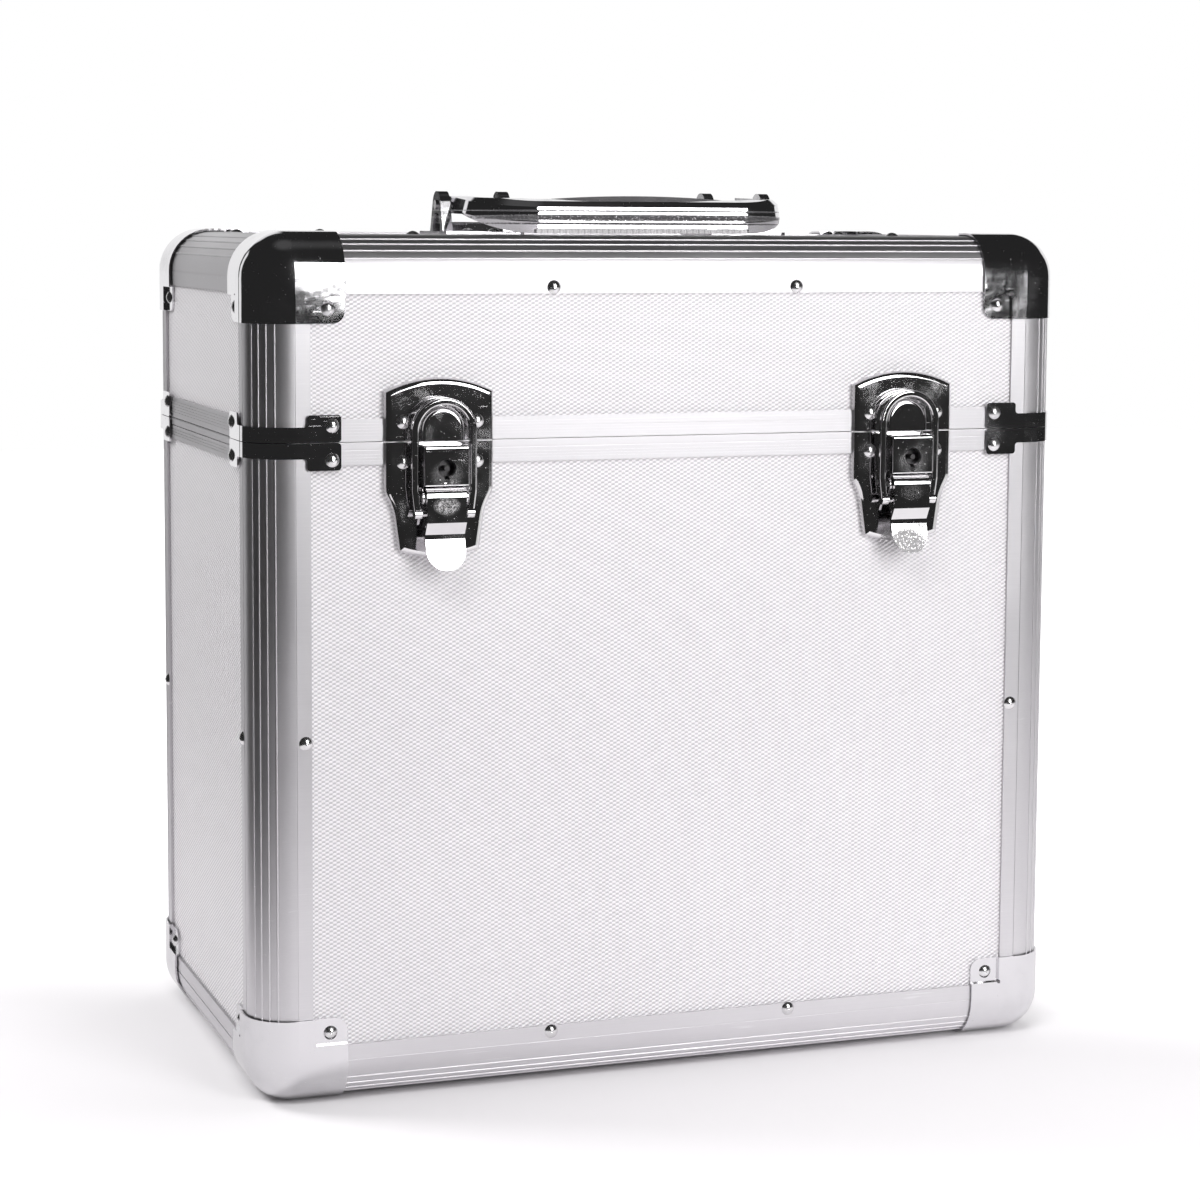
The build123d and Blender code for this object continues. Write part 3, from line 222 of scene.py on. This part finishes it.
def hazeAndPaintOn(bench, where, spots):  # hazy patches that also carry a painted tone; each is x, z, half width, half height, strength
    shared = platingWearAndPaint
    split = {axis: bench.add("ShaderNodeSeparateXYZ", None, [where], axis) for axis in "XZ"}
    total = 0.0
    for x, z, wide, tall, strength in spots:
        across = (split["X"] - x) * (1 / wide)
        up = (split["Z"] - z) * (1 / tall)
        reach = across * across + up * up
        total = (1 - bench.smooth(reach, *shared["patchSoft"])) * strength + total
    mottle = bench.noise(where, shared["mottleScale"], 4.0, 0.75)
    return (total * bench.smooth(mottle, *shared["mottle"])).math("MINIMUM", 1.0)


def platedFinish(name, look):
    shared = platingWearAndPaint
    material, bench = newFinish(name)
    where = bench.place()
    handling = smudges(bench, where, look["smudgeScale"], *shared["handled"])
    ripple = bench.noise(where, look["rippleScale"], 2.0, 0.5)
    dust = bench.smooth(bench.noise(where, shared["dustScale"], 1.0, 0.4), *shared["dust"])
    marks = scratches(bench, shared["markTurn"], *shared["marks"])
    tone = bench.mix(handling * 0.6, look["colour"], look["darkTone"])
    shade = bench.mix(dust * 0.5 + marks * 0.25, tone, shared["dustTone"])
    rippled = bench.bump(ripple, look["rippleDepth"], 0.5)
    marked = bench.bump(marks, shared["markDepth"], 0.5, rippled)
    metal = 1.0
    roughness = look["roughness"] + handling * look["smudge"] + dust * 0.3 + marks * 0.1
    # each patch makes the plating rougher and less metallic, and tints it with a painted tone: painted
    # reflection on the latches, painted shade on the handle
    for paintedTone, spots in look.get("hazeAndPaint", ()):
        hazeAndPaint = hazeAndPaintOn(bench, where, spots)
        shade = bench.mix(hazeAndPaint, shade, paintedTone)
        metal = metal - hazeAndPaint * 0.75
        roughness = roughness + hazeAndPaint * 0.3
    surface(bench, {
        "Base Color": shade,
        "Metallic": metal,
        "Roughness": roughness,
        "Normal": marked,
    })
    return material


cornerLook = {
    "colour": (0.74, 0.73, 0.75, 1), "darkTone": (0.64, 0.63, 0.65, 1),
    "roughness": 0.055, "smudge": 0.10, "smudgeScale": 34.0,
    "rippleScale": 90.0, "rippleDepth": 0.00016,
}
latchLook = {
    "colour": (0.76, 0.75, 0.76, 1), "darkTone": (0.66, 0.65, 0.67, 1),
    "roughness": 0.06, "smudge": 0.12, "smudgeScale": 60.0,
    "rippleScale": 140.0, "rippleDepth": 0.00004,
    "hazeAndPaint": (  # a painted tone, then its patches
        # light grey: painted reflection on the lever faces and lock housings, on top of real haze
        ((0.84, 0.82, 0.84, 1), (
            (-0.1033, 0.2468, 0.0064, 0.0042, 0.62),   # left lever
            (-0.1033, 0.2592, 0.0080, 0.0066, 0.22),   # left lock housing
            (0.1033, 0.2468, 0.0064, 0.0042, 0.12),    # right lever
            (0.1033, 0.2592, 0.0080, 0.0066, 0.14),    # right lock housing
        )),
        ((0.22, 0.215, 0.22, 1), ((0.1020, 0.2235, 0.0105, 0.0088, 4.0),)),  # right tongue: painted reflection in dark grey
    ),
}
handleLook = {
    "colour": (0.76, 0.75, 0.77, 1), "darkTone": (0.66, 0.65, 0.67, 1),
    "roughness": 0.06, "smudge": 0.13, "smudgeScale": 50.0,
    "rippleScale": 80.0, "rippleDepth": 0.00006,
    # near-black tone: painted shade in the grooves between the grip's beads
    "hazeAndPaint": (((0.07, 0.068, 0.072, 1), (
        (0.0, 0.36235, 0.085, 0.0017, 5.0),   # painted shade between the grip's beads
        (0.0, 0.36525, 0.085, 0.0005, 6.0),
        (0.0, 0.35985, 0.085, 0.0006, 5.0),
    )),),
}
rivetLook = {
    "colour": (0.78, 0.77, 0.78, 1), "darkTone": (0.60, 0.59, 0.61, 1),
    "roughness": 0.22, "smudge": 0.16, "smudgeScale": 130.0,
    "rippleScale": 420.0, "rippleDepth": 0.00003,
}
hingeLook = {
    "colour": (0.66, 0.65, 0.66, 1), "darkTone": (0.55, 0.54, 0.55, 1),
    "roughness": 0.22, "smudge": 0.16, "smudgeScale": 60.0,
    "rippleScale": 160.0, "rippleDepth": 0.00004,
}
steelLook = {
    "colour": (0.52, 0.51, 0.52, 1), "darkTone": (0.40, 0.39, 0.40, 1),
    "roughness": 0.30, "smudge": 0.18, "smudgeScale": 160.0,
    "rippleScale": 600.0, "rippleDepth": 0.00002,
}
lockLook = {
    "colour": (0.10, 0.097, 0.10, 1), "darkTone": (0.08, 0.078, 0.08, 1),
    "roughness": 0.30, "smudge": 0.10, "smudgeScale": 900.0,
    "rippleScale": 900.0, "rippleDepth": 0.000004,
}


# felt liner
feltLook = {
    "colour": (0.020, 0.020, 0.022, 1),
    "lint": (0.075, 0.073, 0.076, 1),
    "napScale": 900.0,
    "swirlScale": 55.0,
    "fluffScale": 420.0,
    "fluff": (0.60, 0.72),
    "pileDepth": 0.00035,
    "sheen": 0.35,
    "sheenSpread": 0.6,
    "specular": 0.15,
    "roughness": 0.95,
}


def feltFinish(name):
    look = feltLook
    material, bench = newFinish(name)
    where = bench.place()
    nap = bench.noise(where, look["napScale"], 4.0, 0.7)
    swirl = bench.noise(where, look["swirlScale"], 3.0, 0.6)
    fluff = bench.smooth(bench.noise(where, look["fluffScale"], 3.0, 0.7), *look["fluff"])
    tone = bench.mix(nap * 0.45 + swirl * 0.25 + fluff * 0.3, look["colour"], look["lint"])
    pile = bench.bump(nap + fluff * 0.6, look["pileDepth"], 0.9)
    surface(bench, {
        "Base Color": tone,
        "Roughness": look["roughness"] - fluff * 0.1,
        "Sheen Weight": look["sheen"],
        "Sheen Roughness": look["sheenSpread"],
        "Specular IOR Level": look["specular"],
        "Normal": pile,
    })
    return material


# grey moulded grip
gripLook = {
    "colour": (0.43, 0.42, 0.43, 1),
    "rubbed": (0.53, 0.52, 0.53, 1),
    "topShade": (0.055, 0.053, 0.057, 1),
    "topShadeFrom": (0.3692, 0.3699),  # heights between which the upper edge turns dark, as painted shade
    "grainScale": 1100.0,
    "grainDepth": 0.00006,
    "rub": (60.0, 0.42, 0.66),
    "roughness": 0.42,
}


def gripFinish(name):
    look = gripLook
    material, bench = newFinish(name)
    where = bench.place()
    grain = bench.noise(where, look["grainScale"], 3.0, 0.6)
    rub = smudges(bench, where, *look["rub"])
    tone = bench.mix(rub * 0.7 + grain * 0.2, look["colour"], look["rubbed"])
    height = bench.add("ShaderNodeSeparateXYZ", None, [where], "Z")
    # painted shade: the grip's upper edge is coloured dark
    topShadeMask = bench.smooth(height + grain * 0.0003, *look["topShadeFrom"])
    texture = bench.bump(grain, look["grainDepth"], 0.6)
    surface(bench, {
        "Base Color": bench.mix(topShadeMask, tone, look["topShade"]),
        "Roughness": look["roughness"] + grain * 0.18 - rub * 0.06,
        "Normal": texture,
    })
    return material


# which finish each solid takes
quarter = radians(90)
finishes = {
    "sheetFront": sheetFinish("embossedSheetFront", (0, 0, 0)),
    "sheetSide": sheetFinish("embossedSheetSide", (0, 0, quarter)),
    "sheetFlat": sheetFinish("embossedSheetFlat", (quarter, 0, 0)),
    "railAcross": extrusionFinish("extrusionAcross", (0, 0, 0)),
    "railDeep": extrusionFinish("extrusionDeep", (0, 0, quarter)),
    "post": extrusionFinish("extrusionUpright", (0, quarter, 0)),
    "corner": platedFinish("platedCorner", cornerLook),
    "latch": platedFinish("platedLatch", latchLook),
    "handle": platedFinish("platedHandle", handleLook),
    "rivet": platedFinish("rivetHead", rivetLook),
    "hinge": platedFinish("hingePlate", hingeLook),
    "pin": platedFinish("steelPin", steelLook),
    "lock": platedFinish("lockBarrel", lockLook),
    "felt": feltFinish("blackFelt"),
    "grip": gripFinish("greyGrip"),
}
partFinish = (
    ("rivets", "rivet"), ("ball_corners", "corner"), ("corner_clips", "corner"),
    ("liner", "felt"), ("lock_barrel", "lock"), ("hinge_leaves", "hinge"),
    ("pins", "pin"), ("catch_plate", "latch"), ("latch_", "latch"),
    ("grip", "grip"), ("handle_", "handle"),
)


def finishOf(name):
    if "panel" in name:
        if name.endswith(("_left", "_right")):
            return "sheetSide"
        return "sheetFront" if name.endswith(("_front", "_back")) else "sheetFlat"
    if "_post_" in name:
        return "post"
    if "_rail_" in name or "_rim_" in name:
        return "railDeep" if name.endswith(("_left", "_right")) else "railAcross"
    for part, finish in partFinish:
        if part in name:
            return finish
    raise ValueError("no finish for " + name)


for name, part in nodes.items():
    part.data.materials.clear()
    part.data.materials.append(finishes[finishOf(name)])
print("finishes set:", len(finishes))


# floor, background, lamps
studio = {
    "floor": (-0.42, 2.2, -0.60, 3.2),    # x from, x to, y from, y to
    "floorShadowEdge": (-0.30, 0.25),         # x where the floor goes from its darker left, a painted shadow of the case, to its lighter right
    # both floor colours are darker on the left: painted shadow of the case
    "floorSeen": ((0.65, 0.637, 0.65, 1), (0.78, 0.765, 0.78, 1)),
    "floorBounce": ((0.56, 0.549, 0.56, 1), (0.86, 0.845, 0.86, 1)),  # what the case itself sees, with the same painted shadow on the left
    "floorLift": (-0.04, 0.24),           # depths between which it turns white, camera rays only
    "liftSlant": 0.55,                    # how much sooner that is to the right, keeping the floor lighter there than in the painted shadow on the left
    "plain": 0.38,                        # light from all round on matt surfaces
    "dark": 0.022,                        # the unlit room that metal also sees
}

# bright sheets round the table that metal sees, in degrees: compass from +Y towards +X, height
cards = {
    "backdrop": {"across": (-15, 62), "up": (-30, 21), "soft": 2, "bright": 0.95},
    "leftStrip": {"across": (-34, -22.5), "up": (-30, 24), "soft": 1.5, "bright": 0.95},
    "upperBack": {"across": (-14, 10), "up": (20, 36), "soft": 3, "bright": 0.90},
    "rightSheet": {"across": (108, 148), "up": (-40, -6), "soft": 1.5, "bright": 0.80},
    "ceiling": {"across": (-200, 200), "up": (74, 110), "soft": 8, "bright": 0.06},
}


def makeFloor():
    look = studio
    bpy.ops.object.select_all(action="DESELECT")
    x0, x1, y0, y1 = look["floor"]
    middle = ((x0 + x1) / 2, (y0 + y1) / 2, 0)
    bpy.ops.mesh.primitive_plane_add(size=1, location=middle)
    floor = bpy.context.object
    floor.name = "studioFloor"
    floor.scale = (x1 - x0, y1 - y0, 1)
    bpy.ops.object.transform_apply(location=True, rotation=True, scale=True)
    material, bench = newFinish("paleFloor")
    across, deep = (bench.add("ShaderNodeSeparateXYZ", None, [bench.place()], axis) for axis in "XY")
    # painted shadow: the floor is coloured darker left of the case
    pastPaintedShadow = bench.smooth(across, *look["floorShadowEdge"])
    bounced = bench.mix(pastPaintedShadow, *look["floorBounce"])
    seen = bench.mix(pastPaintedShadow, *look["floorSeen"])
    matt = bench.add("ShaderNodeBsdfDiffuse", None, {"Color": bounced})
    pale = bench.add("ShaderNodeBsdfDiffuse", None, {"Color": seen})
    white = bench.smooth(deep + across * look["liftSlant"], *look["floorLift"])
    lift = bench.add("ShaderNodeEmission", None, {"Color": white, "Strength": 1.0})
    lit = bench.add("ShaderNodeAddShader", None, [pale, lift])
    direct = bench.add("ShaderNodeLightPath", output="Is Camera Ray")
    both = bench.add("ShaderNodeMixShader", None, [direct, matt, lit])
    bench.add("ShaderNodeOutputMaterial", None, {"Surface": both})
    floor.data.materials.append(material)


def sheetOfLight(bench, compass, height, look):  # 0 outside, its brightness inside
    soft = radians(look["soft"])
    inside = look["bright"]
    for angle, (start, end) in ((compass, look["across"]), (height, look["up"])):
        entered = bench.smooth(angle, radians(start) - soft, radians(start) + soft)
        left = bench.smooth(angle, radians(end) - soft, radians(end) + soft)
        inside = entered * (1 - left) * inside
    return inside


def makeWorld():
    look = studio
    world = bpy.data.worlds.new("studioWorld")
    scene.world = world
    world.use_nodes = True
    bench = Bench(world.node_tree)
    toward = bench.add("ShaderNodeTexCoord", output="Generated")
    right, back, up = (bench.add("ShaderNodeSeparateXYZ", None, [toward], axis) for axis in "XYZ")
    compass, height = right.math("ARCTAN2", back), up.math("ARCSINE")
    backdrop = look["dark"]
    for card in cards.values():
        backdrop = sheetOfLight(bench, compass, height, card) + backdrop
    mirrored = bench.add("ShaderNodeLightPath", output="Is Glossy Ray")
    through = bench.add("ShaderNodeLightPath", output="Is Transmission Ray")
    direct = bench.add("ShaderNodeLightPath", output="Is Camera Ray")
    metalSees = mirrored.math("MAXIMUM", through)
    plain = (1 - direct.math("MAXIMUM", metalSees)) * look["plain"]
    strength = direct + metalSees * backdrop + plain
    light = bench.add("ShaderNodeBackground", None, {"Color": (1, 1, 1, 1), "Strength": strength})
    bench.add("ShaderNodeOutputWorld", None, {"Surface": light})


# the key is a tall softbox just right of the camera; the fills light matt surfaces
lamps = {
    "keySoftbox": {"at": (0.52, -1.4965, 0.861), "aim": (0.52, 0.0, 0.861), "size": (0.68, 1.12),
                   "power": 15.5, "mirrored": True},
    "frontFill": {"at": (-0.62, -0.90, 1.20), "aim": (-0.15, 0.0, 0.34), "size": (0.8, 0.4),
                  "power": 13.0, "mirrored": False},
    "rightFill": {"at": (1.0, -0.30, 1.25), "aim": (0.0, 0.0, 0.0), "size": (0.5, 0.5),
                  "power": 2.5, "mirrored": False},
    "topFill": {"at": (0.28, 0.15, 1.6), "aim": (0.0, 0.0, 0.0), "size": (0.7, 0.7),
                "power": 6.0, "mirrored": False},
    "leftFill": {"at": (-0.78, 0.42, 0.78), "aim": (-0.18, 0.0, 0.36), "size": (0.4, 0.3),
                 "power": 8.5, "mirrored": False},
}


def makeLamp(name, look):
    light = bpy.data.lights.new(name, "AREA")
    light.shape = "RECTANGLE"
    light.size, light.size_y = look["size"]
    light.energy = look["power"]
    lamp = bpy.data.objects.new(name, light)
    scene.collection.objects.link(lamp)
    lamp.location = look["at"]
    lamp.visible_camera = False
    lamp.visible_glossy = look["mirrored"]
    aim = Vector(look["aim"]) - Vector(look["at"])
    lamp.rotation_euler = aim.to_track_quat("-Z", "Y").to_euler()


cameraLook = {
    "at": (-0.4278, -1.19495, 0.3618),
    "turn": -0.3443,             # about Z
    "tilt": -0.0988,
    "roll": -0.0056,
    "lens": 85.0,
    "shift": -0.0833,
}


def makeCamera():
    look = cameraLook
    data = bpy.data.cameras.new("viewCamera")
    data.lens = look["lens"]
    data.sensor_width = 36
    data.shift_y = look["shift"]
    data.clip_start, data.clip_end = 0.05, 50
    camera = bpy.data.objects.new("viewCamera", data)
    scene.collection.objects.link(camera)
    turned = Matrix.Rotation(look["turn"], 4, "Z") @ Matrix.Rotation(look["tilt"], 4, "X")
    turned = turned @ Matrix.Rotation(look["roll"], 4, "Y") @ Matrix.Rotation(quarter, 4, "X")
    camera.matrix_world = Matrix.Translation(look["at"]) @ turned
    scene.camera = camera


makeFloor()
makeWorld()
for name, look in lamps.items():
    makeLamp(name, look)
makeCamera()
scene.view_settings.view_transform = "Standard"
print("studio set")
